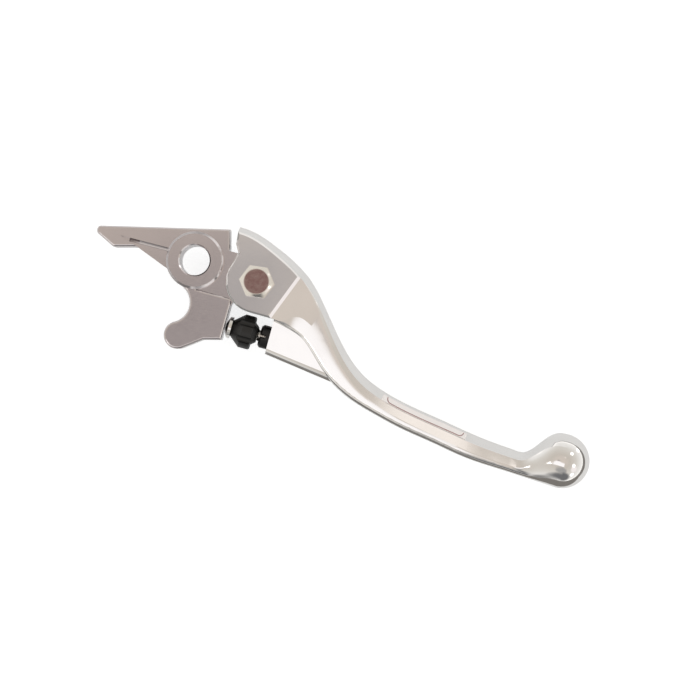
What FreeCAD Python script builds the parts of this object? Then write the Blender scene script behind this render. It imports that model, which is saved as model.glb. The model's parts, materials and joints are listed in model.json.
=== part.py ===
import FreeCAD, Part
import math
import os

# Two-piece brake lever for a motorcycle: a base that turns on the master cylinder's pin, and a
# finger blade that hinges on the base and is set nearer or further by a hand screw.
# Millimetres.  The origin is in the middle of the main pivot bore, +Z runs along the bore,
# and +X runs out along the lever towards the ball end.

V = FreeCAD.Vector

# Main pivot bore and its boss
BORE_DIAMETER = 12.0
BORE_CHAMFER = 0.5
BOSS_DIAMETER = 22.8
BOSS_HEIGHT = 15.0
BOSS_CHAMFER = 0.9

# Tail that works the light switch and stops the blade
TAIL_LENGTH = 39.0
TAIL_FRONT = 13.9
TAIL_FALL = 1.6
TAIL_HEIGHT = 10.0
TIP_DEPTH = 8.5
TIP_FLANK = 6.5
TIP_RADIUS = 1.6
BAR_DEPTH = 4.0
LIP_LENGTH = 9.4
WEB_HEIGHT = 4.4
WEB_FOOT_ANGLE = 198.0

# Leg that pushes the piston and carries the adjuster's seat
LEG_HEIGHT = 12.0
LOBE_DIAMETER = 11.0
LOBE_X = -7.0
LOBE_Y = -29.7
HOLLOW_EASE = 1.2
FOOT_X = 3.0
FOOT_Y = -31.6
EDGE_ROUND = 0.9

# Blade hinge: tongue of the base between the two ears of the blade
HINGE_X = 24.8
HINGE_Y = -8.7
HINGE_SLOPE = 15.5
TONGUE_RADIUS = 9.1
TONGUE_THICKNESS = 7.0
TONGUE_ROOT_RADIUS = 3.0
EAR_RADIUS = 12.4
EAR_THICKNESS = 4.6
EAR_CHAMFER = 0.7
FORK_CLEARANCE = 0.15
SLOT_CLEARANCE = 0.9
CHANNEL_CLEARANCE = 0.6
OUTWARD_SWING = 9.0
INWARD_SWING = 2.0
STOP_CLEARANCE = 0.3

# Brow of the ears that meets the tail's end
BROW_RADIUS = 23.1
BROW_ANGLE = 108.1
BROW_FOOT_RADIUS = 17.2
BROW_FOOT_ANGLE = 118.8
NOTCH_RISE = 1.4
NOTCH_ANGLE = 122.5

# Hinge hardware
BOLT_DIAMETER = 8.0
BOLT_ACROSS_FLATS = 12.0
BOLT_HEAD_HEIGHT = 5.3
BOLT_HEAD_CHAMFER = 0.9
CORNER_SLOPE = 30.0
BOLT_HEAD_TURN = -8.0
BOLT_END_PROUD = 1.2
BOLT_END_CHAMFER = 0.8
SLEEVE_WALL = 1.5
NUT_ACROSS_FLATS = 13.0
NUT_HEX_HEIGHT = 5.0
NUT_COLLAR_DIAMETER = 11.4
NUT_COLLAR_HEIGHT = 2.4
NUT_CHAMFER = 0.6
NYLON_WALL = 0.9
NYLON_HEIGHT = 1.6
WASHER_WIDTH = 1.8
WASHER_THICKNESS = 0.4
WASHER_POCKET_DEPTH = 0.6
RUNNING_CLEARANCE = 0.05

# Hand adjuster between the leg and the blade's lug
ADJUSTER_ARM = 20.2
LEG_FACE_SETBACK = 7.84
LUG_FACE_REACH = 10.4
SEAT_GAP = 0.05
SCREW_DIAMETER = 5.0
SCREW_ENGAGEMENT = 9.5
SCREW_END_CHAMFER = 0.5
HOLE_RUN_OUT = 2.0
PAD_DIAMETER = 8.6
PAD_THICKNESS = 2.5
KNOB_DIAMETER = 13.8
KNOB_NOSE_DIAMETER = 6.2
KNOB_NOSE_LENGTH = 4.4
KNOB_GRIP_LENGTH = 4.4
KNOB_HUB_DIAMETER = 9.4
KNOB_HUB_END_DIAMETER = 6.2
KNOB_CLEARANCE = 0.3
KNOB_LOBES = 6
KNOB_GROOVE_RADIUS = 1.5
KNOB_EDGE_CHAMFER = 0.5
LOCK_NUT_DIAMETER = 9.4
LOCK_NUT_THICKNESS = 4.0
LOCK_NUT_CHAMFER = 0.8
LOCK_NUT_SLOT_WIDTH = 1.6
LOCK_NUT_SLOT_DEPTH = 2.4

# Lug of the blade that holds the screw
LUG_DROP = 6.6
LUG_HEIGHT = 8.8
LUG_LEAN = 5.0
LUG_ROUND = 3.0

# Finger blade and ball
ARM_ROOT_WIDTH = 22.5
ARM_HEIGHT = 14.4
FINGER_WIDTH = 10.0
FINGER_HEIGHT = 12.6
NECK_WIDTH = 9.2
NECK_HEIGHT = 11.6
NOSE_RADIUS = 3.6
REAR_ROUND = 2.2
REAR_FULLNESS = 0.8
EAR_STOCK = 0.2
# Sections from ears to neck: x and y of the front edge from the hinge, heading across the blade,
# depth of the front facet, width and drop of the narrow band behind it, lean of the top at the rear
BLADE_SECTIONS = (
    (-11.4, 23.8, -108.0, 2.4, 1.0, 0.8, 0.0),
    (-4.2, 21.4, -113.0, 2.4, 1.0, 0.8, 0.0),
    (2.4, 18.0, -119.0, 2.4, 1.0, 0.8, 0.0),
    (7.5, 14.3, -123.0, 2.5, 1.0, 0.8, 0.0),
    (12.6, 10.2, -125.0, 2.7, 1.0, 0.75, 0.0),
    (17.8, 5.1, -124.0, 2.9, 1.0, 0.7, 2.0),
    (21.6, 0.4, -120.0, 2.8, 1.1, 0.6, 5.0),
    (25.6, -7.0, -121.0, 2.6, 1.3, 0.5, 7.0),
    (33.2, -23.6, -129.0, 2.8, 1.8, 0.5, 9.0),
    (42.4, -37.2, -126.5, 3.2, 2.4, 0.5, 9.0),
    (51.0, -43.8, -120.0, 3.4, 2.8, 0.5, 9.0),
    (61.6, -49.5, -115.0, 3.5, 3.1, 0.55, 9.0),
    (73.6, -54.9, -114.0, 3.5, 3.4, 0.6, 9.0),
    (85.6, -60.4, -112.5, 3.5, 3.4, 0.6, 9.0),
    (95.6, -64.4, -110.0, 3.4, 3.2, 0.6, 9.0),
    (102.6, -66.9, -107.0, 3.3, 3.0, 0.6, 9.0),
)
FORK_FLARE = 1.0
LUG_MERGE = ((29.6, -40.0), (38.5, -41.0), (25.2, -22.1), (14.0, -6.0))
BALL_DIAMETER = 22.0
BALL_X = 121.6
BALL_Y = -71.3
BALL_HEADING = -102.0
# Swell of the neck: share of the way to the ball, share of the growth in size
FLARE = ((0.18, 0.02), (0.37, 0.26), (0.6, 0.71), (0.8, 0.94), (0.92, 0.988))
EAR_FLAT_REACH = 11.65
SCOOP_HEADING = -36.3
SCOOP_WALL = 1.3
SCOOP_LENGTH = 16.0
# Levels of the scoop's floor from the arm's own height: at the wall, half-way, at the end
SCOOP_LEVELS = (0.35, -0.1, -0.25)

# Derived places that several pieces share
HINGE = V(HINGE_X, HINGE_Y, 0)
ALONG = V(math.cos(math.radians(HINGE_SLOPE)), -math.sin(math.radians(HINGE_SLOPE)), 0)
ABOVE = V(math.sin(math.radians(HINGE_SLOPE)), math.cos(math.radians(HINGE_SLOPE)), 0)
UP = V(0, 0, 1)
BOSS_RADIUS = BOSS_DIAMETER / 2
FORK_INNER = TONGUE_THICKNESS / 2 + FORK_CLEARANCE
FORK_OUTER = FORK_INNER + EAR_THICKNESS
SLEEVE_RADIUS = BOLT_DIAMETER / 2 + RUNNING_CLEARANCE + SLEEVE_WALL
PAD_TIP = SEAT_GAP - LEG_FACE_SETBACK
KNOB_START = PAD_TIP + PAD_THICKNESS
SCREW_END = LUG_FACE_REACH + SCREW_ENGAGEMENT
TALL = 60.0
OVERLAP = 1.0


def hinge_point(along, above, z=0.0):
    """Point given along and above the adjuster's direction, from the hinge centre."""
    return HINGE + ALONG * along + ABOVE * above + UP * z


def polar(centre, radius, angle):
    """Point at a distance and an angle in degrees from a centre, in the lever's plane."""
    turn = math.radians(angle)
    return centre + V(radius * math.cos(turn), radius * math.sin(turn), 0)


def turned(point, angle):
    """Point swung about the hinge by an angle in degrees."""
    offset = point - HINGE
    return polar(HINGE, offset.Length, math.degrees(math.atan2(offset.y, offset.x)) + angle)


def tangent_point(point, centre, radius, side):
    """Where the tangent from a point touches a circle; side is +1 or -1 for left or right."""
    offset = point - centre
    heading = math.degrees(math.atan2(offset.y, offset.x))
    return polar(centre, radius, heading + side * math.degrees(math.acos(radius / offset.Length)))


def line(a, b):
    return Part.LineSegment(a, b).toShape()


def arc(a, b, c):
    return Part.Arc(a, b, c).toShape()


def circle_arc(centre, radius, start, end):
    """Arc of a circle between two angles in degrees, by way of the angle half-way."""
    return arc(polar(centre, radius, start), polar(centre, radius, (start + end) / 2),
               polar(centre, radius, end))


def angle_of(point, centre):
    return math.degrees(math.atan2(point.y - centre.y, point.x - centre.x))


def prism(edges, height, bottom=None):
    """Closed outline in the lever's plane, raised evenly about the mid-plane or from a level."""
    face = Part.Face(Part.Wire(Part.__sortEdges__(edges)))
    low = -height / 2 if bottom is None else bottom
    face.translate(UP * low)
    return face.extrude(UP * height)


def outline(points):
    """Straight edges round a closed list of points."""
    return [line(a, b) for a, b in zip(points, points[1:] + points[:1])]


def rim_edges(solid, level):
    """Edges of a solid that lie wholly at one height."""
    flat = []
    for edge in solid.Edges:
        box = edge.BoundBox
        if abs(box.ZMin - level) < 1e-6 and abs(box.ZMax - level) < 1e-6:
            flat.append(edge)
    return flat


def lies_on(edge, a, b):
    """Whether an edge's middle is over the line through two points."""
    offset = edge.valueAt((edge.FirstParameter + edge.LastParameter) / 2) - a
    run = (b - a).normalize()
    return abs(offset.x * run.y - offset.y * run.x) < 1e-4


def plate(edges, height, radius):
    """Plate about the mid-plane with its upper and lower outline rounded."""
    solid = prism(edges, height)
    rims = rim_edges(solid, height / 2) + rim_edges(solid, -height / 2)
    return solid.makeFillet(radius, rims)


def ring(inner, outer, bottom, top, centre=V(0, 0, 0)):
    """Upright tube between two levels."""
    place = centre + UP * bottom
    body = Part.makeCylinder(outer, top - bottom, place)
    return body.cut(Part.makeCylinder(inner, top - bottom, place))


def turned_profile(points, origin, axis, across):
    """Body of revolution: points are (distance along the axis, radius)."""
    path = [origin + axis * s + across * r for s, r in points]
    face = Part.Face(Part.makePolygon(path + path[:1]))
    return face.revolve(origin, axis, 360)


def hex_prism(across_flats, bottom, height, turn):
    """Hexagonal bar on the hinge axis with one corner at an angle."""
    corner = across_flats / math.sqrt(3)
    corners = [polar(HINGE, corner, turn + 60 * k) for k in range(6)]
    return prism(outline(corners), height, bottom)


def stop_line():
    """Two points of the ears' brow, swung to the outward limit."""
    top = turned(polar(HINGE, BROW_RADIUS, BROW_ANGLE), OUTWARD_SWING)
    foot = turned(polar(HINGE, BROW_FOOT_RADIUS, BROW_FOOT_ANGLE), OUTWARD_SWING)
    return foot, top


def tail():
    """Bar along the front with a thick tip; its right end is the stop for the blade."""
    foot, top = stop_line()
    upright = (top - foot).normalize()
    clear = V(-upright.y, upright.x, 0) * STOP_CLEARANCE
    span = TAIL_LENGTH + top.x
    end_front = V(top.x, TAIL_FRONT - TAIL_FALL, 0) + clear
    end_rear = foot + clear
    rear = TAIL_FRONT - TIP_DEPTH
    corner = V(-TAIL_LENGTH, TAIL_FRONT + TAIL_FALL * TIP_RADIUS / span, 0)
    tip_low = V(-TAIL_LENGTH, TAIL_FRONT - TIP_DEPTH / 3, 0)
    tip_rear = V(TIP_FLANK - TAIL_LENGTH, rear, 0)
    lip = V(TIP_FLANK + LIP_LENGTH - TAIL_LENGTH, rear, 0)
    bay = V(TIP_FLANK + LIP_LENGTH / 3 - TAIL_LENGTH, TAIL_FRONT - BAR_DEPTH, 0)
    inner_front = hinge_point(-HINGE.Length, TONGUE_RADIUS)
    inner_rear = V(-BOSS_RADIUS / 2, BOSS_RADIUS / 3, 0)
    inner_end = hinge_point((end_rear - HINGE).dot(ALONG), TONGUE_RADIUS)
    points = [corner, end_front, end_rear, inner_end, inner_front, inner_rear, bay, lip, tip_rear, tip_low]
    body = prism(outline(points), TAIL_HEIGHT)
    uprights = [edge for edge in body.Edges if edge.BoundBox.ZLength > TAIL_HEIGHT / 2]
    tips = [edge for edge in uprights if edge.BoundBox.XMax < tip_rear.x + TIP_RADIUS]
    body = body.makeFillet(TIP_RADIUS, tips)
    inner = [(end_rear, inner_end), (inner_end, inner_front), (inner_front, inner_rear)]
    inner += [(inner_rear, bay), (bay, lip)]
    rims = rim_edges(body, TAIL_HEIGHT / 2) + rim_edges(body, -TAIL_HEIGHT / 2)
    outer = [edge for edge in rims if not any(lies_on(edge, a, b) for a, b in inner)]
    body = body.makeFillet(EDGE_ROUND, outer)
    foot_on_boss = polar(V(0, 0, 0), BOSS_RADIUS, WEB_FOOT_ANGLE)
    web = prism(outline([bay, inner_rear, foot_on_boss, lip]), WEB_HEIGHT)
    return body.fuse(web)


def leg():
    """Leg down to the round lobe, with its left side hollowed between boss and lobe."""
    lobe = V(LOBE_X, LOBE_Y, 0)
    lobe_radius = LOBE_DIAMETER / 2
    span = lobe.Length
    hollow = (span - BOSS_RADIUS - lobe_radius) / 2 + HOLLOW_EASE
    to_boss = BOSS_RADIUS + hollow
    to_lobe = lobe_radius + hollow
    reach = (span ** 2 + to_boss ** 2 - to_lobe ** 2) / (2 * span)
    offset = math.sqrt(to_boss ** 2 - reach ** 2)
    down = lobe * (1 / span)
    hollow_centre = down * reach + V(down.y, -down.x, 0) * offset
    on_boss = hollow_centre * (BOSS_RADIUS / to_boss)
    on_lobe = lobe + (hollow_centre - lobe) * (lobe_radius / to_lobe)
    upper = angle_of(on_boss, hollow_centre)
    lower = angle_of(on_lobe, hollow_centre)
    waist = polar(hollow_centre, hollow, (upper + lower) / 2)
    foot = V(FOOT_X, FOOT_Y, 0)
    below = tangent_point(foot, lobe, lobe_radius, -1)
    start = angle_of(on_lobe, lobe) % 360
    end = angle_of(below, lobe) % 360
    drop = (FOOT_Y - HINGE_Y + LEG_FACE_SETBACK * ALONG.y) / ABOVE.y
    face_low = hinge_point(-LEG_FACE_SETBACK, drop)
    face_top = hinge_point(-LEG_FACE_SETBACK, -TONGUE_RADIUS)
    shoulder = hinge_point(BOSS_RADIUS / 3 - HINGE.dot(ALONG), -TONGUE_RADIUS)
    middle = V(0, 0, 0)
    edges = [arc(on_boss, waist, on_lobe), circle_arc(lobe, lobe_radius, start, end)]
    edges += [line(below, foot), line(foot, face_low), line(face_low, face_top)]
    edges += [line(face_top, shoulder), line(shoulder, middle), line(middle, on_boss)]
    return plate(edges, LEG_HEIGHT, EDGE_ROUND)


def tongue():
    """Parallel-sided tongue with a round end, and a filleted root beside the leg's face."""
    inner = -HINGE.Length
    radius = TONGUE_RADIUS
    edges = [line(hinge_point(inner, radius), hinge_point(0, radius))]
    edges.append(arc(hinge_point(0, radius), hinge_point(radius, 0), hinge_point(0, -radius)))
    edges.append(line(hinge_point(0, -radius), hinge_point(inner, -radius)))
    edges.append(line(hinge_point(inner, -radius), hinge_point(inner, radius)))
    body = prism(edges, TONGUE_THICKNESS)
    root = TONGUE_ROOT_RADIUS
    left = -LEG_FACE_SETBACK
    centre = hinge_point(left + root, -radius - root)
    middle = centre + (ABOVE - ALONG) * (root / math.sqrt(2))
    top_left = hinge_point(left - OVERLAP, OVERLAP - radius)
    top_right = hinge_point(left + root, OVERLAP - radius)
    right = hinge_point(left + root, -radius)
    low_right = hinge_point(left, -radius - root)
    low_left = hinge_point(left - OVERLAP, -radius - root)
    corner = [line(top_left, top_right), line(top_right, right), arc(right, middle, low_right)]
    corner += [line(low_right, low_left), line(low_left, top_left)]
    return body.fuse(prism(corner, TONGUE_THICKNESS))


def lever_base():
    boss = Part.makeCylinder(BOSS_RADIUS, BOSS_HEIGHT, V(0, 0, -BOSS_HEIGHT / 2))
    rims = rim_edges(boss, BOSS_HEIGHT / 2) + rim_edges(boss, -BOSS_HEIGHT / 2)
    boss = boss.makeChamfer(BOSS_CHAMFER, rims)
    arms = tail().fuse(leg())
    for bottom in (TONGUE_THICKNESS / 2, -TONGUE_THICKNESS / 2 - TALL):
        sweep = Part.makeCylinder(EAR_RADIUS + CHANNEL_CLEARANCE, TALL, HINGE + UP * bottom)
        arms = arms.cut(sweep)
    body = boss.fuse([arms, tongue()])
    bore_radius = BORE_DIAMETER / 2
    half = BOSS_HEIGHT / 2
    bore = [(-half, 0), (-half, bore_radius + BORE_CHAMFER), (BORE_CHAMFER - half, bore_radius)]
    bore += [(half - BORE_CHAMFER, bore_radius), (half, bore_radius + BORE_CHAMFER), (half, 0)]
    body = body.cut(turned_profile(bore, V(0, 0, 0), UP, V(1, 0, 0)))
    hole = Part.makeCylinder(SLEEVE_RADIUS + RUNNING_CLEARANCE, TALL, HINGE - UP * TALL / 2)
    pocket_radius = SLEEVE_RADIUS + WASHER_WIDTH + 2 * RUNNING_CLEARANCE
    pocket = Part.makeCylinder(pocket_radius, WASHER_POCKET_DEPTH, HINGE - UP * TONGUE_THICKNESS / 2)
    return body.cut(hole).cut(pocket).removeSplitter()


def blend(a, b, share):
    return a + (b - a) * share


def spline(points):
    curve = Part.BSplineCurve()
    curve.interpolate(points)
    return curve.toShape()


def shaped_section(width, half, facet, band, drop, lean):
    """Points on each of eight sides of the blade's section, as (depth from front, height).

    A round nose runs into a flat facet and a narrow band above and below; from the band's rear edge
    the top falls as a parabola, and a superellipse rounds the rear.
    """
    nose = NOSE_RADIUS
    ridge = half - drop
    to_ridge = math.hypot(facet - nose, ridge)
    touch = math.atan2(ridge, facet - nose) + math.acos(nose / to_ridge)
    shares = [k / 4 for k in range(5)]
    turns = [blend(2 * math.pi - touch, touch, s) for s in shares]
    front = [(nose + nose * math.cos(a), nose * math.sin(a)) for a in turns]
    upper = [(blend(front[4][0], facet, s), blend(front[4][1], ridge, s)) for s in shares]
    crest = facet + band
    step = [(blend(facet, crest, s), blend(ridge, half, s)) for s in shares]
    reach = width - REAR_ROUND - crest
    fall = math.tan(math.radians(lean)) * reach / 2
    top = [(crest + reach * s, half - fall * s ** 2) for s in shares]
    turns = [math.pi / 2 * (1 - k / 4) for k in range(1, 8)]
    bulge = [0] + [math.cos(a) ** REAR_FULLNESS for a in turns] + [0]
    rise = [1] + [math.copysign(abs(math.sin(a)) ** REAR_FULLNESS, a) for a in turns] + [-1]
    rear = [(width - REAR_ROUND * (1 - u), (half - fall) * z) for u, z in zip(bulge, rise)]
    lower = [[(u, -z) for u, z in reversed(side)] for side in (top, step, upper)]
    return [front, upper, step, top, rear] + lower


def round_section(width, half):
    """The same eight sides on an ellipse, for the ball end."""
    corners = [205, 155, 122, 80, 35, -35, -80, -122, -155]
    sides = []
    for start, end in zip(corners, corners[1:]):
        count = 9 if start == -end else 5
        turns = [math.radians(blend(start, end, k / (count - 1))) for k in range(count)]
        sides.append([(width / 2 * (1 + math.cos(a)), half * math.sin(a)) for a in turns])
    return sides


def section_wire(front, heading, size, shape, roundness):
    """Closed wire of one blade section; heading points from the front edge to the rear edge."""
    across = polar(V(0, 0, 0), 1, heading)
    shaped = shaped_section(*size, *shape)
    rounded = round_section(*size)
    edges = []
    for plain, full in zip(shaped, rounded):
        depths = [blend(a[0], b[0], roundness) for a, b in zip(plain, full)]
        heights = [blend(a[1], b[1], roundness) for a, b in zip(plain, full)]
        points = [front + across * u + UP * z for u, z in zip(depths, heights)]
        if roundness == 1:
            edges.append(arc(points[0], points[len(points) // 2], points[-1]))
        else:
            edges.append(spline(points))
    return Part.Wire(edges)


def blade_stations():
    """Sections from the ears to the neck: front point, heading, (width, half height) and shape."""
    ear = FORK_OUTER + EAR_STOCK
    arm = ARM_HEIGHT / 2
    finger = FINGER_HEIGHT / 2
    neck = NECK_HEIGHT / 2
    cover = ARM_ROOT_WIDTH + EAR_RADIUS + REAR_ROUND
    widths = [cover, cover] + [blend(ARM_ROOT_WIDTH, cover, s) for s in (0.94, 0.8, 0.55)]
    widths += [blend(FINGER_WIDTH, ARM_ROOT_WIDTH, s) for s in (1.16, 0.94, 0.62, 0.28, 0.08, 0, 0, 0, 0)]
    widths += [blend(NECK_WIDTH, FINGER_WIDTH, s) for s in (0.4, 0)]
    halves = [ear] * 6 + [blend(arm, ear, s) for s in (0.35, 0)]
    halves += [blend(finger, arm, s) for s in (0.7, 0.35, 0.15, 0, 0, 0)]
    halves += [blend(neck, finger, s) for s in (0.4, 0)]
    rows = []
    for (x, y, heading, *shape), width, half in zip(BLADE_SECTIONS, widths, halves):
        rows.append((V(x, y, 0), heading, (width, half), shape))
    return rows


def blade_skin():
    """Lofted skin of arm and finger, flared at the neck into the half ball at the end."""
    rows = blade_stations()
    wires = [section_wire(HINGE + front, heading, size, shape, 0) for front, heading, size, shape in rows]
    front, heading, (width, half), shape = rows[-1]
    neck_rear = front + polar(V(0, 0, 0), width, heading)
    ball = V(BALL_X, BALL_Y, 0)
    ball_rear = polar(ball, BALL_DIAMETER / 2, BALL_HEADING)
    for place, share in FLARE:
        turn = blend(heading, BALL_HEADING, place)
        swell = (blend(width, BALL_DIAMETER, share), blend(half, BALL_DIAMETER / 2, share))
        front = blend(neck_rear, ball_rear, place) - polar(V(0, 0, 0), swell[0], turn)
        wires.append(section_wire(HINGE + front, turn, swell, shape, math.sqrt(share)))
    front = polar(ball, BALL_DIAMETER / 2, BALL_HEADING + 180)
    round_size = (BALL_DIAMETER, BALL_DIAMETER / 2)
    wires.append(section_wire(HINGE + front, BALL_HEADING, round_size, shape, 1))
    skin = Part.makeLoft(wires, True)
    outward = polar(V(0, 0, 0), 1, BALL_HEADING + 90)
    cap = Part.makeSphere(BALL_DIAMETER / 2, HINGE + ball, outward, 0, 90, 360)
    return skin.fuse(cap)


def ear_block():
    """What the ears may fill: their outline with chamfered rims, open towards arm and front."""
    radius = EAR_RADIUS
    right = LUG_FACE_REACH + 2 * EAR_RADIUS
    notch = polar(HINGE, radius + NOTCH_RISE, NOTCH_ANGLE)
    touch = tangent_point(notch, HINGE, radius, 1)
    brow_foot = polar(HINGE, BROW_FOOT_RADIUS, BROW_FOOT_ANGLE)
    brow = polar(HINGE, BROW_RADIUS, BROW_ANGLE)
    over = brow + (brow - brow_foot) * 2
    under = hinge_point(LUG_FACE_REACH, -radius)
    rim = [line(under, hinge_point(0, -radius))]
    low = angle_of(hinge_point(0, -radius), HINGE)
    rim.append(circle_arc(HINGE, radius, low, angle_of(touch, HINGE) - 360))
    rim += [line(touch, notch), line(notch, brow_foot), line(brow_foot, over)]
    far = [over, hinge_point(right, TALL), hinge_point(right, -2 * radius)]
    far += [hinge_point(LUG_FACE_REACH, -2 * radius), under]
    rest = [line(a, b) for a, b in zip(far, far[1:])]
    block = prism(rim + rest, 2 * FORK_OUTER)
    middles = [edge.valueAt((edge.FirstParameter + edge.LastParameter) / 2) for edge in rim]
    chosen = []
    for level in (FORK_OUTER, -FORK_OUTER):
        for edge in rim_edges(block, level):
            middle = edge.valueAt((edge.FirstParameter + edge.LastParameter) / 2)
            if any((middle - UP * level - m).Length < 1e-4 for m in middles):
                chosen.append(edge)
    return block.makeChamfer(EAR_CHAMFER, chosen)


def ear_waste():
    """Stock outside the ears that is cut off the skin."""
    edge = LUG_FACE_REACH + EAR_RADIUS
    low = -ADJUSTER_ARM
    corners = [(-TALL, -TALL), (LUG_FACE_REACH, -TALL), (LUG_FACE_REACH, low), (edge, low)]
    corners += [(edge, TALL), (-TALL, TALL)]
    stock = prism(outline([hinge_point(s, t) for s, t in corners]), TALL)
    return stock.cut(ear_block())


def scoop(side):
    """Shallow hollow that steps the arm down from the ears' flat; side is +1 above, -1 below."""
    out = polar(V(0, 0, 0), 1, SCOOP_HEADING)
    length = V(-out.y, out.x, 0)
    start = HINGE + out * EAR_FLAT_REACH
    arm = ARM_HEIGHT / 2

    def at(reach, level):
        return start + out * reach + UP * (level * side) - length * TALL

    foot, half_way, last = [arm + level for level in SCOOP_LEVELS]
    over = FORK_OUTER + EAR_THICKNESS
    slope = SCOOP_WALL / (FORK_OUTER - foot)
    wall_top = at(slope * (FORK_OUTER - over), over)
    wall_foot = at(SCOOP_WALL, foot)
    end = at(SCOOP_LENGTH, last)
    middle = at((SCOOP_WALL + SCOOP_LENGTH) / 2, half_way)
    lid = at(SCOOP_LENGTH, over)
    edges = [line(wall_top, wall_foot), arc(wall_foot, middle, end), line(end, lid), line(lid, wall_top)]
    return Part.Face(Part.Wire(edges)).extrude(length * TALL * 2)


def fork_slot():
    """Room for the tongue between the ears over the whole swing."""
    radius = TONGUE_RADIUS + SLOT_CLEARANCE
    left = 180 - HINGE_SLOPE
    wall = left - OUTWARD_SWING - FORK_FLARE
    top = polar(HINGE, radius, wall - 90)
    away = polar(top, TALL, wall)
    bottom = hinge_point(0, -radius)
    edges = [line(away, top), arc(top, hinge_point(radius, 0), bottom)]
    edges += [line(bottom, hinge_point(0, -TALL)), line(hinge_point(0, -TALL), hinge_point(-TALL, -TALL))]
    edges.append(line(hinge_point(-TALL, -TALL), away))
    return prism(edges, 2 * FORK_INNER)


def lug():
    """Thick shelf behind the arm that carries the adjuster's screw.

    Its faces lean towards the rear, and its rear edges are rounded.
    """
    low = hinge_point(LUG_FACE_REACH, -ADJUSTER_ARM - LUG_DROP)
    inside = [HINGE + V(x, y, 0) for x, y in LUG_MERGE]
    high = hinge_point(LUG_FACE_REACH, OVERLAP - EAR_RADIUS)
    body = prism(outline([high, low] + inside), TALL)
    run = (inside[0] - low).normalize()
    inward = V(-run.y, run.x, 0)
    rise = math.tan(math.radians(LUG_LEAN))
    near = LUG_HEIGHT / 2 - OVERLAP * rise
    far = LUG_HEIGHT / 2 + TALL * rise
    start = low - run * TALL
    slab = [(-OVERLAP, -near), (TALL, -far), (TALL, far), (-OVERLAP, near)]
    profile = [start + inward * d + UP * z for d, z in slab]
    leaning = Part.Face(Part.makePolygon(profile + profile[:1])).extrude(run * TALL * 2)
    body = body.common(leaning)
    rear = [edge for edge in body.Edges if lies_on(edge, low, inside[0])]
    rear = [edge for edge in rear if edge.BoundBox.ZLength < OVERLAP]
    return body.makeFillet(LUG_ROUND, rear)


def lever_blade():
    body = blade_skin().cut(ear_waste())
    body = body.cut([scoop(1), scoop(-1)])
    body = body.fuse(lug())
    hole = Part.makeCylinder(BOLT_DIAMETER / 2 + RUNNING_CLEARANCE, TALL, HINGE - UP * TALL / 2)
    depth = SCREW_ENGAGEMENT + HOLE_RUN_OUT
    tapped = Part.makeCylinder(SCREW_DIAMETER / 2 + RUNNING_CLEARANCE, depth + OVERLAP,
                               hinge_point(LUG_FACE_REACH - OVERLAP, -ADJUSTER_ARM), ALONG)
    return body.cut([fork_slot(), hole, tapped]).removeSplitter()


def chamfered_hex(across_flats, bottom, height, turn, inset, top_too):
    """Hexagonal bar with its corners turned off below, and above where asked."""
    corner = across_flats / math.sqrt(3)
    flat = across_flats / 2 - inset
    drop = (corner - flat) * math.tan(math.radians(CORNER_SLOPE))
    profile = [(0, 0), (0, corner), (height - drop, corner), (height, flat), (height, 0)]
    if top_too:
        profile = [(0, 0), (0, flat), (drop, corner), (height - drop, corner), (height, flat), (height, 0)]
    turning = turned_profile(profile, HINGE + UP * bottom, UP, V(1, 0, 0))
    return hex_prism(across_flats, bottom, height, turn).common(turning)


def pivot_bolt():
    head = chamfered_hex(BOLT_ACROSS_FLATS, FORK_OUTER, BOLT_HEAD_HEIGHT, BOLT_HEAD_TURN,
                         BOLT_HEAD_CHAMFER, False)
    radius = BOLT_DIAMETER / 2
    end = -FORK_OUTER - NUT_HEX_HEIGHT - NUT_COLLAR_HEIGHT - BOLT_END_PROUD
    shank = [(end, 0), (end, radius - BOLT_END_CHAMFER), (end + BOLT_END_CHAMFER, radius)]
    shank += [(FORK_OUTER + BOLT_HEAD_HEIGHT / 2, radius), (FORK_OUTER + BOLT_HEAD_HEIGHT / 2, 0)]
    return head.fuse(turned_profile(shank, HINGE, UP, V(1, 0, 0))).removeSplitter()


def pivot_nut():
    bottom = -FORK_OUTER - NUT_HEX_HEIGHT
    body = chamfered_hex(NUT_ACROSS_FLATS, bottom, NUT_HEX_HEIGHT, 0, NUT_CHAMFER, True)
    collar = Part.makeCylinder(NUT_COLLAR_DIAMETER / 2, NUT_COLLAR_HEIGHT + NUT_CHAMFER,
                               HINGE + UP * (bottom - NUT_COLLAR_HEIGHT))
    rim = rim_edges(collar, bottom - NUT_COLLAR_HEIGHT)
    collar = collar.makeChamfer(NUT_CHAMFER, rim)
    thread = Part.makeCylinder(BOLT_DIAMETER / 2 + RUNNING_CLEARANCE, TALL, HINGE - UP * TALL)
    groove = Part.makeCylinder(BOLT_DIAMETER / 2 + NYLON_WALL, NUT_COLLAR_HEIGHT,
                               HINGE + UP * (bottom - NUT_COLLAR_HEIGHT))
    return body.fuse(collar).cut([thread, groove]).removeSplitter()


def nut_insert():
    top = -FORK_OUTER - NUT_HEX_HEIGHT
    radius = BOLT_DIAMETER / 2
    return ring(radius + RUNNING_CLEARANCE, radius + NYLON_WALL, top - NYLON_HEIGHT, top, HINGE)


def pivot_sleeve():
    inner = BOLT_DIAMETER / 2 + RUNNING_CLEARANCE
    return ring(inner, SLEEVE_RADIUS, -FORK_INNER, FORK_INNER, HINGE)


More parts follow.
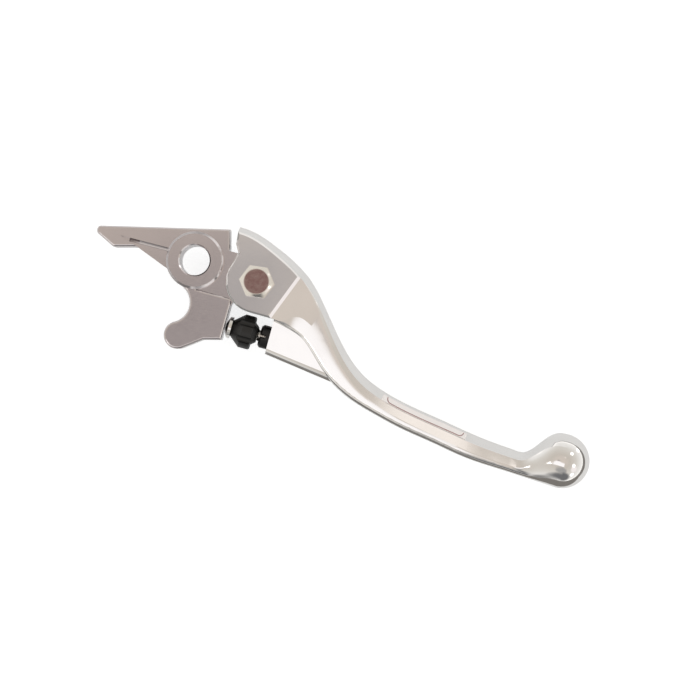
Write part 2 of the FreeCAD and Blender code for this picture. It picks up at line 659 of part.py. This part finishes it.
def spring_washer():
    """Shallow cone that fills the pocket under the tongue and takes up the fork's play."""
    inner = SLEEVE_RADIUS + RUNNING_CLEARANCE
    outer = inner + WASHER_WIDTH
    low = RUNNING_CLEARANCE - FORK_INNER
    high = WASHER_POCKET_DEPTH - TONGUE_THICKNESS / 2 - RUNNING_CLEARANCE
    profile = [(high - WASHER_THICKNESS, inner), (high, inner)]
    profile += [(low + WASHER_THICKNESS, outer), (low, outer)]
    return turned_profile(profile, HINGE, UP, V(1, 0, 0))


def adjuster_screw():
    """Screw with a crowned pad; the crown is struck from the point nearest the hinge, so that the
    pad keeps to the leg's face as the blade swings."""
    centre = hinge_point(0, -ADJUSTER_ARM)
    pad = PAD_DIAMETER / 2
    radius = SCREW_DIAMETER / 2

    def at(along, out):
        return centre + ALONG * along + ABOVE * out

    half_turn = math.asin(pad / -PAD_TIP) / 2
    rim = -math.sqrt(PAD_TIP ** 2 - pad ** 2)
    between = at(PAD_TIP * math.cos(half_turn), -PAD_TIP * math.sin(half_turn))
    crown = arc(at(PAD_TIP, 0), between, at(rim, pad))
    corners = [(rim, pad), (KNOB_START, pad), (KNOB_START, radius), (SCREW_END - SCREW_END_CHAMFER, radius)]
    corners += [(SCREW_END, radius - SCREW_END_CHAMFER), (SCREW_END, 0), (PAD_TIP, 0)]
    points = [at(s, r) for s, r in corners]
    edges = [crown] + [line(a, b) for a, b in zip(points, points[1:])]
    return Part.Face(Part.Wire(edges)).revolve(centre, ALONG, 360)


def adjuster_knob():
    """Star knob: cone towards the leg, grooved grip, and a small hub towards the lock nut."""
    centre = hinge_point(0, -ADJUSTER_ARM)
    bore = SCREW_DIAMETER / 2 + RUNNING_CLEARANCE
    radius = KNOB_DIAMETER / 2
    grip = KNOB_START + KNOB_NOSE_LENGTH
    back = grip + KNOB_GRIP_LENGTH
    inward = ADJUSTER_ARM * math.radians(INWARD_SWING)
    end = LUG_FACE_REACH - LOCK_NUT_THICKNESS - inward - KNOB_CLEARANCE
    profile = [(KNOB_START, bore), (KNOB_START, KNOB_NOSE_DIAMETER / 2), (grip, radius)]
    profile += [(back - KNOB_EDGE_CHAMFER, radius), (back, radius - KNOB_EDGE_CHAMFER)]
    profile += [(back, KNOB_HUB_DIAMETER / 2), (end, KNOB_HUB_END_DIAMETER / 2), (end, bore)]
    body = turned_profile(profile, centre, ALONG, ABOVE)
    grooves = []
    for k in range(KNOB_LOBES):
        turn = math.radians((k + 0.5) * 360 / KNOB_LOBES)
        outward = UP * math.cos(turn) + ABOVE * math.sin(turn)
        place = centre + ALONG * KNOB_START + outward * radius
        grooves.append(Part.makeCylinder(KNOB_GROOVE_RADIUS, back - KNOB_START, place, ALONG))
    return body.cut(grooves).removeSplitter()


def lock_nut():
    """Round nut against the lug, with a screwdriver slot across its free face."""
    centre = hinge_point(0, -ADJUSTER_ARM)
    bore = SCREW_DIAMETER / 2 + RUNNING_CLEARANCE
    radius = LOCK_NUT_DIAMETER / 2
    start = LUG_FACE_REACH - LOCK_NUT_THICKNESS
    profile = [(start, bore), (start, radius - LOCK_NUT_CHAMFER), (start + LOCK_NUT_CHAMFER, radius)]
    profile += [(LUG_FACE_REACH, radius), (LUG_FACE_REACH, bore)]
    body = turned_profile(profile, centre, ALONG, ABOVE)
    half = LOCK_NUT_SLOT_WIDTH / 2
    floor = start + LOCK_NUT_SLOT_DEPTH
    corners = [(start, -half), (floor, -half), (floor, half), (start, half)]
    slot = prism(outline([centre + ALONG * s + ABOVE * t for s, t in corners]), TALL)
    return body.cut(slot)


def main():
    """Build every piece and write it to its own file."""
    os.makedirs("parts", exist_ok=True)
    makers = [lever_base, lever_blade, pivot_bolt, pivot_nut, nut_insert, pivot_sleeve, spring_washer]
    makers += [adjuster_screw, adjuster_knob, lock_nut]
    for maker in makers:
        shape = maker()
        shape.exportStep(f"parts/{maker.__name__}.step")
        print(maker.__name__, shape.isValid(), len(shape.Solids), round(shape.Volume, 1))


main()
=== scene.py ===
# %% [markdown]
# # A two-piece brake lever in polished alloy
# The solid model gives every piece its place in metres, with the origin in the middle of the main
# pivot bore.  This lesson only dresses it: light, camera, finishes, and the fine detail that a
# solid model leaves out.  The frame is loaded first and its box is kept.

# %% Load the frame
import json
import math

import bpy
import numpy as np
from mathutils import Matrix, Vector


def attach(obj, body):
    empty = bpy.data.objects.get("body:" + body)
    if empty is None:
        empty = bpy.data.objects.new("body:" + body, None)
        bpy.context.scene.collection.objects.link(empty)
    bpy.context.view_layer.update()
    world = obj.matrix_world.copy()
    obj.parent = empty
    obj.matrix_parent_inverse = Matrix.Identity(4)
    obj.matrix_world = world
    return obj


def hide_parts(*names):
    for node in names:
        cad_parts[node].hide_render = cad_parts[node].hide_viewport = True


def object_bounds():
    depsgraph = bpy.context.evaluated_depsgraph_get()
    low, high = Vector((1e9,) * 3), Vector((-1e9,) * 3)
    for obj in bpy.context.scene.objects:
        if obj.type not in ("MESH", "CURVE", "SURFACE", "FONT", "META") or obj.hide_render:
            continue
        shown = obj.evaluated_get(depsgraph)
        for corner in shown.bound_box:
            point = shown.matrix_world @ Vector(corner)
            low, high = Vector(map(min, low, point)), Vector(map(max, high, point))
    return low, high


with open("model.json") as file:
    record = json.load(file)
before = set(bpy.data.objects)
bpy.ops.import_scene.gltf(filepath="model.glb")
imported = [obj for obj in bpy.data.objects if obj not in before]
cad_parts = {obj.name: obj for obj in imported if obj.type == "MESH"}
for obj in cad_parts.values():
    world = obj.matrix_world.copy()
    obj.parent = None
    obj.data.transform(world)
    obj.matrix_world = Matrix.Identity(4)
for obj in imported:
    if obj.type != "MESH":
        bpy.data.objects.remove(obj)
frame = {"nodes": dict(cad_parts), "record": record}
cad_low, cad_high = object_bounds()
MM = 0.001
scene = bpy.context.scene
print("nodes", sorted(frame["nodes"]))

# %% [markdown]
# The lever was photographed from straight above, so the camera hangs over the middle of the
# picture and looks down.  A longer lens from further away would flatten the view more: at this
# distance the tall bolt head and the ball lean outwards a little, as they should.

# %% Camera
CAMERA_HEIGHT = 760 * MM
VIEW_WIDTH = 280 * MM
VIEW_CENTRE = (61.6 * MM, -35.64 * MM)
SENSOR_WIDTH = 36.0
NEAREST = 10 * MM

camera_data = bpy.data.cameras.new("camera")
camera_data.sensor_width = SENSOR_WIDTH
camera_data.lens = SENSOR_WIDTH * CAMERA_HEIGHT / VIEW_WIDTH
camera_data.clip_start = NEAREST
camera = bpy.data.objects.new("camera", camera_data)
camera.location = (*VIEW_CENTRE, CAMERA_HEIGHT)
scene.collection.objects.link(camera)
scene.camera = camera
print("lens", round(camera_data.lens, 1), "mm")

# %% [markdown]
# Polished metal has hardly any colour of its own: it shows the room.  The room here is a cream
# ceiling over bright walls, painted as a ramp over the height of the viewing ray.  Soft round patches
# are laid over it.  Windows whiten whatever leans towards them.  The grey shades of the camera and its
# hood are what the flat tops mirror.  A third shade and two dark screens stand on the rear side, where
# the ball and the rear edges show them.  A photographed sky could do this too, but patches can be
# steered one by one.

# %% Room light
scene.view_settings.view_transform = "Standard"
# Room: height of the ray from 0, level, to 1, straight up, and the colour there
ROOM = ((0.0, (1.35, 1.33, 1.29)), (0.10, (1.0, 0.98, 0.95)), (0.30, (0.90, 0.88, 0.85)),
        (0.55, (0.76, 0.73, 0.68)), (0.90, (0.64, 0.59, 0.53)), (1.0, (0.72, 0.645, 0.58)))
# Patches: tilt from straight up, bearing from +X, degrees to the full and to the faded edge, colour.
# A later patch lies over an earlier one.
PATCHES = {
    "body_shade": (40, -91, 10, 16, (0.40, 0.39, 0.38)),
    "window": (16.6, -123, 7, 14, (1.15, 1.12, 1.12)),
    "front_window": (18.8, 56, 1.4, 4.0, (1.10, 1.02, 0.95)),
    "side_window": (56, -36, 8, 15, (1.02, 0.96, 0.95)),
    "camera_shade": (5.0, 178, 2.0, 3.0, (0.35, 0.322, 0.325)),
    "hood_shade": (3.5, 141, 1.0, 2.2, (0.44, 0.41, 0.41)),
    "dark_screen": (68, -89, 14, 26, (0.17, 0.17, 0.175)),
    "rear_screen": (92, -119, 12, 20, (0.27, 0.265, 0.26)),
}


def ramp_stops(node, stops):
    """Set a colour ramp to the given (place, colour) stops."""
    ramp = node.color_ramp
    while len(ramp.elements) < len(stops):
        ramp.elements.new(0.5)
    for element, (place, colour) in zip(ramp.elements, stops):
        element.position = place
        element.color = (*colour, 1.0)


def heading(tilt, bearing):
    """Unit vector at a tilt from straight up and a bearing from +X, in degrees."""
    tilt, bearing = math.radians(tilt), math.radians(bearing)
    return (math.sin(tilt) * math.cos(bearing), math.sin(tilt) * math.sin(bearing), math.cos(tilt))


def soft_patch(nodes, links, ray, under, tilt, bearing, full, faded, colour):
    """Lay a round patch over a colour; it fades with the angle to its middle."""
    angle = nodes.new("ShaderNodeVectorMath")
    angle.operation = "DOT_PRODUCT"
    angle.inputs[1].default_value = heading(tilt, bearing)
    links.new(ray, angle.inputs[0])
    edge = nodes.new("ShaderNodeMapRange")
    edge.interpolation_type = "SMOOTHSTEP"
    edge.inputs["From Min"].default_value = math.cos(math.radians(faded))
    edge.inputs["From Max"].default_value = math.cos(math.radians(full))
    links.new(angle.outputs["Value"], edge.inputs["Value"])
    over = nodes.new("ShaderNodeMix")
    over.data_type = "RGBA"
    over.inputs["B"].default_value = (*colour, 1.0)
    links.new(edge.outputs["Result"], over.inputs["Factor"])
    links.new(under, over.inputs["A"])
    return over.outputs["Result"]


def shown_rays(nodes, links, direct, mirrored):
    """Sum of the kinds of ray, each times its share; light of other kinds gets none."""
    path = nodes.new("ShaderNodeLightPath")
    shares = {"Is Camera Ray": direct, "Is Glossy Ray": mirrored, "Is Transmission Ray": mirrored}
    total = None
    for name, share in shares.items():
        scaled = nodes.new("ShaderNodeMath")
        scaled.operation = "MULTIPLY_ADD"
        scaled.inputs[1].default_value = share
        scaled.inputs[2].default_value = 0.0
        links.new(path.outputs[name], scaled.inputs[0])
        if total is not None:
            links.new(total, scaled.inputs[2])
        total = scaled.outputs[0]
    return total


world = bpy.data.worlds.new("room")
scene.world = world
world.use_nodes = True
nodes, links = world.node_tree.nodes, world.node_tree.links
nodes.clear()
direction = nodes.new("ShaderNodeTexCoord")
height = nodes.new("ShaderNodeSeparateXYZ")
ramp = nodes.new("ShaderNodeValToRGB")
ramp_stops(ramp, ROOM)
room = nodes.new("ShaderNodeBackground")
backdrop = nodes.new("ShaderNodeBackground")
backdrop.inputs["Color"].default_value = (1, 1, 1, 1)
mix = nodes.new("ShaderNodeMixShader")
output = nodes.new("ShaderNodeOutputWorld")
links.new(direction.outputs["Generated"], height.inputs[0])
links.new(height.outputs["Z"], ramp.inputs["Fac"])
painted = ramp.outputs["Color"]
for patch in PATCHES.values():
    painted = soft_patch(nodes, links, direction.outputs["Generated"], painted, *patch)
links.new(painted, room.inputs["Color"])
links.new(shown_rays(nodes, links, direct=1.0, mirrored=0.0), mix.inputs["Fac"])
links.new(room.outputs[0], mix.inputs[1])
links.new(backdrop.outputs[0], mix.inputs[2])
links.new(mix.outputs[0], output.inputs["Surface"])
print("room patches", list(PATCHES))

# %% [markdown]
# Five lamps make the white points on the ball.  Each is placed by mirroring: from a point on the
# ball, given by its distance to the right of and above the middle as the camera sees it, the line to
# the camera is reflected, and the lamp hangs along that line.  A lamp's power is worked out from how
# bright it should look.

# %% Lamps
LAMP_DISTANCE = 1.2
LAMP_SIZE = 0.26
LAMP_RADIANCE = 1.6
BALL = np.array((146.4, -80.0, 0.0)) * MM
BALL_RADIUS = 11.0 * MM
BALL_POINTS = ((2.8, 3.4), (-3.3, -0.8), (3.5, -1.3), (2.8, -4.9), (5.3, 4.6))


def mirrored_line(right, above):
    """Way from the ball's point towards what it shows the camera: 2 (n.v) n - v."""
    up = math.sqrt(BALL_RADIUS ** 2 - right ** 2 - above ** 2)
    normal = np.array((right, above, up)) / BALL_RADIUS
    view = np.array(camera.location) - BALL - normal * BALL_RADIUS
    view /= np.linalg.norm(view)
    return 2 * normal.dot(view) * normal - view


def lamp(name, place, target):
    """Round lamp that faces a point; its power is radiance times pi times its area."""
    data = bpy.data.lights.new(name, "AREA")
    data.shape = "DISK"
    data.size = LAMP_SIZE
    data.energy = LAMP_RADIANCE * math.pi * math.pi * LAMP_SIZE ** 2 / 4
    piece = bpy.data.objects.new(name, data)
    piece.location = place
    aim = target - place
    yaw = math.atan2(aim[1], aim[0])
    piece.rotation_euler = (math.acos(-aim[2] / np.linalg.norm(aim)), 0, yaw - math.pi / 2)
    scene.collection.objects.link(piece)


for index, point in enumerate(np.array(BALL_POINTS) * MM):
    lamp(f"ball_lamp_{index}", BALL + mirrored_line(*point) * LAMP_DISTANCE, BALL)
print("lamps", len(BALL_POINTS))

# %% [markdown]
# The lever lies on a white sheet, with the sheet's cut edge close to the finger's rear side, and the
# sheet lies on a grey table.  Polished edges that lean outwards mirror the sheet as pale and the table
# as a dark line.  Seen directly, both glow up to white, and the sheet still takes a soft shadow.

# %% Floor
FLOOR_SIZE = 4.0
SHEET_TURN = math.radians(-25)
SHEET_CORNERS = ((-300, -400), (40, -400), (40, -39), (250, -39), (250, 400), (-300, 400))
SHEET_LIFT = 0.2 * MM
SHEET_COLOUR = (0.77, 0.80, 0.83)
SHEET_GLOW = 0.62
SHEET_MIRRORED = 0.2
TABLE_COLOUR = (0.29, 0.285, 0.28)
TABLE_GLOW = 0.84
TABLE_MIRRORED = 0.0


def ground(name, corners, level, colour, direct, mirrored):
    """Flat plate with a diffuse colour that also glows for the rays that show the picture."""
    mesh = bpy.data.meshes.new(name)
    mesh.from_pydata([(*corner, level) for corner in corners], [], [range(len(corners))])
    plate = bpy.data.objects.new(name, mesh)
    scene.collection.objects.link(plate)
    card = bpy.data.materials.new(name)
    card.use_nodes = True
    nodes, links = card.node_tree.nodes, card.node_tree.links
    nodes.clear()
    plain = nodes.new("ShaderNodeBsdfDiffuse")
    plain.inputs["Color"].default_value = (*colour, 1)
    glow = nodes.new("ShaderNodeEmission")
    lit = nodes.new("ShaderNodeAddShader")
    output = nodes.new("ShaderNodeOutputMaterial")
    links.new(shown_rays(nodes, links, direct, mirrored), glow.inputs["Strength"])
    links.new(plain.outputs[0], lit.inputs[0])
    links.new(glow.outputs[0], lit.inputs[1])
    links.new(lit.outputs[0], output.inputs["Surface"])
    mesh.materials.append(card)
    print(name, "at", round(level / MM, 2), "mm")


half = FLOOR_SIZE / 2
turned = np.array(SHEET_CORNERS) * MM @ ((math.cos(SHEET_TURN), math.sin(SHEET_TURN)),
                                         (-math.sin(SHEET_TURN), math.cos(SHEET_TURN)))
square = ((-half, -half), (half, -half), (half, half), (-half, half))
ground("table", square, cad_low[2] - SHEET_LIFT, TABLE_COLOUR, TABLE_GLOW, TABLE_MIRRORED)
ground("sheet", turned.tolist(), cad_low[2], SHEET_COLOUR, SHEET_GLOW, SHEET_MIRRORED)

# %% [markdown]
# Every finish is built from the same three ideas: a slow noise that shifts the colour a little, a
# drawn-out noise that stands for polishing marks and sets the roughness, and a very fine bump.
# Images would be quicker to paint, but noise in object coordinates needs no unwrapping and stays
# sharp at any distance.

# %% Finishes
CLOUD_SCALE = 90.0
CLOUD_DETAIL = 4.0
STREAK_DETAIL = 3.0
RELIEF_DEPTH = 0.02 * MM


def finish(name, colour, metallic, roughness, spread=0.05, tint=0.05,
           marks=(400, 4000, 4000), turn=0.0, bump=0.04):
    """Principled surface with cloudy colour, streaked roughness and a fine bump."""
    material = bpy.data.materials.new(name)
    material.use_nodes = True
    nodes, links = material.node_tree.nodes, material.node_tree.links
    shader = nodes["Principled BSDF"]
    shader.inputs["Metallic"].default_value = metallic
    place = nodes.new("ShaderNodeTexCoord")
    cloud = nodes.new("ShaderNodeTexNoise")
    cloud.inputs["Scale"].default_value = CLOUD_SCALE
    cloud.inputs["Detail"].default_value = CLOUD_DETAIL
    links.new(place.outputs["Object"], cloud.inputs["Vector"])
    shade = nodes.new("ShaderNodeValToRGB")
    ramp_stops(shade, ((0.3, tuple(c * (1 - tint) for c in colour)), (0.7, colour)))
    links.new(cloud.outputs["Fac"], shade.inputs["Fac"])
    links.new(shade.outputs["Color"], shader.inputs["Base Color"])
    stretch = nodes.new("ShaderNodeMapping")
    stretch.inputs["Rotation"].default_value = (0, 0, turn)
    stretch.inputs["Scale"].default_value = marks
    links.new(place.outputs["Object"], stretch.inputs["Vector"])
    streak = nodes.new("ShaderNodeTexNoise")
    streak.inputs["Scale"].default_value = 1.0
    streak.inputs["Detail"].default_value = STREAK_DETAIL
    links.new(stretch.outputs["Vector"], streak.inputs["Vector"])
    rough = nodes.new("ShaderNodeMapRange")
    rough.inputs["To Min"].default_value = roughness - spread
    rough.inputs["To Max"].default_value = roughness + spread
    links.new(streak.outputs["Fac"], rough.inputs["Value"])
    links.new(rough.outputs["Result"], shader.inputs["Roughness"])
    relief = nodes.new("ShaderNodeBump")
    relief.inputs["Strength"].default_value = bump
    relief.inputs["Distance"].default_value = RELIEF_DEPTH
    links.new(streak.outputs["Fac"], relief.inputs["Height"])
    links.new(relief.outputs["Normal"], shader.inputs["Normal"])
    print("finish", name)
    return material


FINISHES = {
    "blade_alloy": finish("polished_alloy", (0.88, 0.87, 0.86), 1.0, 0.09, spread=0.03,
                          turn=0.45),
    "base_alloy": finish("satin_alloy", (0.66, 0.62, 0.625), 1.0, 0.13),
    "bolt_steel": finish("plated_steel", (0.90, 0.86, 0.80), 1.0, 0.18, tint=0.1),
    "sleeve_steel": finish("ground_steel", (0.60, 0.60, 0.60), 1.0, 0.28),
    "screw_steel": finish("bright_steel", (0.80, 0.79, 0.77), 1.0, 0.15),
    "nylon": finish("nylon", (0.80, 0.80, 0.76), 0.0, 0.45),
    "knob_plastic": finish("black_plastic", (0.007, 0.007, 0.007), 0.0, 0.4,
                           marks=(3000, 3000, 3000), bump=0.3),
    "black_steel": finish("black_oxide", (0.015, 0.015, 0.016), 0.4, 0.3),
}

# %% [markdown]
# The bolt's head is coloured a darker brown on its flat top, inside the turned rim.  The darker patch
# is a
# mask: the distance from the bolt's axis in plan fades it out at the rim, and a fine noise breaks it
# up.
# The mask only mixes one more colour in front of the shader, so the steel below stays as it was.

# %% Darker brown top of the bolt
HINGE = (24.8 * MM, -8.7 * MM, 0.0)
# Radius, soft edge and colour of the darker brown on the bolt head's flat top, inside its rim
DARK_TOP_RADIUS = 5.0 * MM
DARK_TOP_EDGE = 0.35 * MM
DARK_TOP_COLOUR = (0.32, 0.20, 0.19)
SPECK_SCALE = 520.0
SPECK_DETAIL = 3.0
SPECK_NOISE = (0.3, 0.6)
THINNEST = 0.86


# Colours the bolt head's flat top a darker brown inside its rim
def darken_top(material):
    """Mix in a colour near the bolt's axis, above height zero: inside times above times broken."""
    nodes, links = material.node_tree.nodes, material.node_tree.links
    base = nodes["Principled BSDF"].inputs["Base Color"]
    under = base.links[0].from_socket
    place = nodes.new("ShaderNodeTexCoord")
    flat = nodes.new("ShaderNodeVectorMath")
    flat.operation = "MULTIPLY"
    flat.inputs[1].default_value = (1, 1, 0)
    links.new(place.outputs["Object"], flat.inputs[0])
    away = nodes.new("ShaderNodeVectorMath")
    away.operation = "DISTANCE"
    away.inputs[1].default_value = HINGE
    links.new(flat.outputs[0], away.inputs[0])
    inside = nodes.new("ShaderNodeMapRange")
    inside.inputs["From Min"].default_value = DARK_TOP_RADIUS
    inside.inputs["From Max"].default_value = DARK_TOP_RADIUS - DARK_TOP_EDGE
    links.new(away.outputs["Value"], inside.inputs["Value"])
    height = nodes.new("ShaderNodeSeparateXYZ")
    links.new(place.outputs["Object"], height.inputs[0])
    above = nodes.new("ShaderNodeMath")
    above.operation = "GREATER_THAN"
    above.inputs[1].default_value = 0.0
    links.new(height.outputs["Z"], above.inputs[0])
    specks = nodes.new("ShaderNodeTexNoise")
    specks.inputs["Scale"].default_value = SPECK_SCALE
    specks.inputs["Detail"].default_value = SPECK_DETAIL
    links.new(place.outputs["Object"], specks.inputs["Vector"])
    broken = nodes.new("ShaderNodeMapRange")
    broken.inputs["From Min"].default_value = SPECK_NOISE[0]
    broken.inputs["From Max"].default_value = SPECK_NOISE[1]
    broken.inputs["To Min"].default_value = THINNEST
    links.new(specks.outputs["Fac"], broken.inputs["Value"])
    mask = inside.outputs["Result"]
    for part in (above.outputs[0], broken.outputs["Result"]):
        times = nodes.new("ShaderNodeMath")
        times.operation = "MULTIPLY"
        links.new(mask, times.inputs[0])
        links.new(part, times.inputs[1])
        mask = times.outputs[0]
    over = nodes.new("ShaderNodeMix")
    over.data_type = "RGBA"
    over.inputs["B"].default_value = (*DARK_TOP_COLOUR, 1.0)
    links.new(mask, over.inputs["Factor"])
    links.new(under, over.inputs["A"])
    links.new(over.outputs["Result"], base)
    print("stain on", material.name)


darken_top(FINISHES["bolt_steel"])

# %% [markdown]
# The solids keep their own shapes and the exact normals of their surfaces, so each only needs its
# finish.  The finish is linked to the object, not to the mesh, which leaves the mesh as it came.

# %% Dress the solids
for row in frame["record"]["subparts"]:
    node = frame["nodes"][row["node"]]
    slot = node.material_slots[0]
    slot.link = "OBJECT"
    slot.material = FINISHES[row["material_slot"]]
    print(row["node"], slot.material.name)

# %% [markdown]
# The front of the finger has a pale etched panel.  An engraved line runs along its rear side and turns
# up at both ends.  The panel is a flat grid in plan, dropped straight down onto the finger by a
# Shrinkwrap modifier, so it follows the curved facet without any fitting by hand.  A decal painted in
# the material would be simpler, but a thin plate keeps a real edge.

# %% Bare panel on the finger
# In mm: ends along X, depths square to the front edge, lifts above the facet
FINGER_FRONT = np.array(((75.8, -52.5), (86.4, -58.2), (98.4, -63.6), (110.4, -69.1)))
PANEL_ENDS = (75.6, 108.8)
PANEL_DEPTHS = (1.0, 3.4)
PANEL_GRID = (90, 10)
LINE_ENDS = (77.4, 107.4)
LINE_DEPTHS = (1.3, 3.0)
LINE_CORNER = 1.7
LINE_WIDTH = 0.34
PLATE = 0.05
PANEL_LIFT = PLATE * 2
LINE_LIFT = PLATE * 2.8
DROP_HEIGHT = 20.0
front_edge = np.poly1d(np.polyfit(FINGER_FRONT[:, 0], FINGER_FRONT[:, 1], 3))


def on_facet(along, depth):
    """Points above the facet: along the front edge's curve y(x), then square to it, rearwards."""
    slope = front_edge.deriv()(along)
    length = np.sqrt(1 + slope ** 2)
    flat = np.stack((along + depth * slope / length, front_edge(along) - depth / length), axis=-1)
    return np.concatenate((flat, np.full(flat.shape[:-1] + (1,), DROP_HEIGHT)), axis=-1) * MM


def grid_mesh(name, points):
    """Mesh of quads over a grid of points: each row is joined to the next."""
    rows, columns = points.shape[:2]
    number = np.arange(rows * columns).reshape(rows, columns)
    quads = np.stack((number[:-1, :-1], number[:-1, 1:], number[1:, 1:], number[1:, :-1]), axis=-1)
    mesh = bpy.data.meshes.new(name)
    mesh.from_pydata(points.reshape(-1, 3), [], quads.reshape(-1, 4))
    mesh.shade_smooth()
    return mesh


def thin_plate(name, points, lift, material):
    """Plate on the blade: the grid is projected down, lifted a little and given a thickness."""
    piece = bpy.data.objects.new(name, grid_mesh(name, points))
    scene.collection.objects.link(piece)
    drop = piece.modifiers.new("drop", "SHRINKWRAP")
    drop.target = frame["nodes"]["lever_blade"]
    drop.wrap_method = "PROJECT"
    drop.wrap_mode = "ABOVE_SURFACE"
    drop.use_project_z = True
    drop.use_positive_direction = False
    drop.use_negative_direction = True
    drop.offset = lift * MM
    wall = piece.modifiers.new("wall", "SOLIDIFY")
    wall.thickness = PLATE * MM
    wall.offset = 0.0
    piece.data.materials.append(material)
    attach(piece, "blade")
    print(name, len(piece.data.polygons), "faces")


def trough(grow, count=200, steps=65):
    """Lower half of a slot's outline as (along, depth), evenly spaced; grow widens it all round."""
    turn = np.linspace(0, np.pi, steps)
    half = np.ptp(LINE_ENDS) / 2 - LINE_CORNER
    middle = np.mean(LINE_ENDS) + np.where(np.cos(turn) >= 0, half, -half)
    along = middle + (LINE_CORNER + grow) * np.cos(turn)
    depth = LINE_DEPTHS[0] + (np.ptp(LINE_DEPTHS) + grow) * np.sin(turn)
    run = np.concatenate(([0], np.cumsum(np.hypot(np.diff(along), np.diff(depth)))))
    even = np.linspace(0, run[-1], count)
    return np.interp(even, run, along), np.interp(even, run, depth)


along, depth = np.meshgrid(np.linspace(*PANEL_ENDS, PANEL_GRID[0]),
                           np.linspace(*PANEL_DEPTHS, PANEL_GRID[1]), indexing="ij")
etched = finish("etched_alloy", (0.98, 0.95, 0.94), 1.0, 0.6, tint=0.02)
engraved = finish("engraved_line", (0.42, 0.25, 0.25), 0.0, 0.5)
thin_plate("panel_face", on_facet(along, depth), PANEL_LIFT, etched)
rims = [on_facet(*trough(grow)) for grow in (LINE_WIDTH / 2, 0.0, -LINE_WIDTH / 2)]
thin_plate("panel_line", np.stack(rims, axis=1), LINE_LIFT, engraved)

# %% [markdown]
# A casting has no sharp inner corners.  Where the thin web of the tail meets the bar, a hollow fillet
# runs along the root and draws a fine dark line there.  It is a quarter circle carried along a
# straight path, with a little thickness into the metal.

# %% Root fillet of the web
WEB_TOP = 2.2
ROOT_RADIUS = 1.3
ROOT_WALL = 0.2
ROOT_AT_TIP = np.array((-26.1, 9.05))
ROOT_AT_BOSS = np.array((-10.3, 4.98))


def root_fillet(name, start, end, rows=40, columns=9):
    """Hollow quarter round: at angle a it is r (1 - cos a) off the wall and r (1 - sin a) up."""
    run = (end - start) / np.linalg.norm(end - start)
    outward = np.array((run[1], -run[0]))
    angle = np.linspace(0, np.pi / 2, columns)
    path = np.linspace(start, end, rows)
    flat = path[:, None, :] + outward * (ROOT_RADIUS * (1 - np.cos(angle)))[None, :, None]
    up = np.broadcast_to(WEB_TOP + ROOT_RADIUS * (1 - np.sin(angle)), flat.shape[:2])
    points = np.concatenate((flat, up[..., None]), axis=-1) * MM
    piece = bpy.data.objects.new(name, grid_mesh(name, points))
    scene.collection.objects.link(piece)
    wall = piece.modifiers.new("wall", "SOLIDIFY")
    wall.thickness = ROOT_WALL * MM
    wall.offset = -1.0
    piece.data.materials.append(FINISHES["base_alloy"])
    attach(piece, "base")
    print(name, round(np.linalg.norm(end - start), 1), "mm")


root_fillet("root_fillet", ROOT_AT_TIP, ROOT_AT_BOSS)

# %% [markdown]
# The solid screw has a plain shank.  Its dressed version is one surface of two parameters: the
# profile along the axis gives the radius, and along the threaded stretch a triangle wave that also
# turns with the angle cuts the helix into it.  The axis and its foot come from the knob's joint in the
# frame.

# %% Threaded adjuster screw
SCREW_RADIUS = 2.5
SCREW_PITCH = 0.8
THREAD_DEPTH = 0.42
THREAD_START = 4.6
SCREW_END = 19.9
SCREW_CHAMFER = 0.5
PAD_RADIUS = 4.3
CROWN_RADIUS = 7.79
PAD_BACK = -5.29
WELD_GAP = 0.0005
SHARP_ANGLE = math.radians(35)
joint = next(row for row in frame["record"]["behaviour"]["joints"] if row["name"] == "knob_turn")
screw_axis = -np.array(joint["axis"]) / np.linalg.norm(joint["axis"])
screw_foot = np.array(joint["pos_m"])


def screw_surface(columns=49, crown_rows=12, rows_per_turn=8):
    """Radius r(s, a): crown, pad and shank by stations, less depth times a triangle wave."""
    crown = np.linspace(-CROWN_RADIUS, -np.sqrt(CROWN_RADIUS ** 2 - PAD_RADIUS ** 2), crown_rows)
    thread = np.arange(THREAD_START, SCREW_END - SCREW_CHAMFER, SCREW_PITCH / rows_per_turn)
    place = np.concatenate((crown, (PAD_BACK, PAD_BACK, THREAD_START - SCREW_PITCH), thread,
                            (SCREW_END - SCREW_CHAMFER, SCREW_END, SCREW_END)))
    radius = np.concatenate((np.sqrt(np.maximum(CROWN_RADIUS ** 2 - crown ** 2, 0)),
                             (PAD_RADIUS, SCREW_RADIUS, SCREW_RADIUS),
                             np.full(thread.shape, SCREW_RADIUS),
                             (SCREW_RADIUS, SCREW_RADIUS - SCREW_CHAMFER, 0)))
    angle = np.linspace(0, 2 * np.pi, columns)
    phase = (place[:, None] / SCREW_PITCH - angle[None, :] / (2 * np.pi)) % 1
    threaded = (place >= THREAD_START) & (place < SCREW_END - SCREW_CHAMFER)
    cut = THREAD_DEPTH * (1 - np.abs(2 * phase - 1)) * threaded[:, None]
    return place, angle, np.maximum(radius[:, None] - cut, 0)


def screw_points():
    """Surface points: foot + axis s + r (across cos a + up sin a)."""
    place, angle, radius = screw_surface()
    up = np.array((0.0, 0.0, 1.0))
    across = np.cross(up, screw_axis)
    round_way = across * np.cos(angle)[:, None] + up * np.sin(angle)[:, None]
    return screw_foot + MM * (screw_axis * place[:, None, None] + round_way * radius[..., None])


screw = bpy.data.objects.new("threaded_screw", grid_mesh("threaded_screw", screw_points()))
scene.collection.objects.link(screw)
weld = screw.modifiers.new("weld", "WELD")
weld.merge_threshold = WELD_GAP * MM
screw.data.set_sharp_from_angle(angle=SHARP_ANGLE)
screw.data.materials.append(FINISHES["screw_steel"])
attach(screw, "screw")
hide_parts("adjuster_screw")
print("screw", len(screw.data.polygons), "faces")
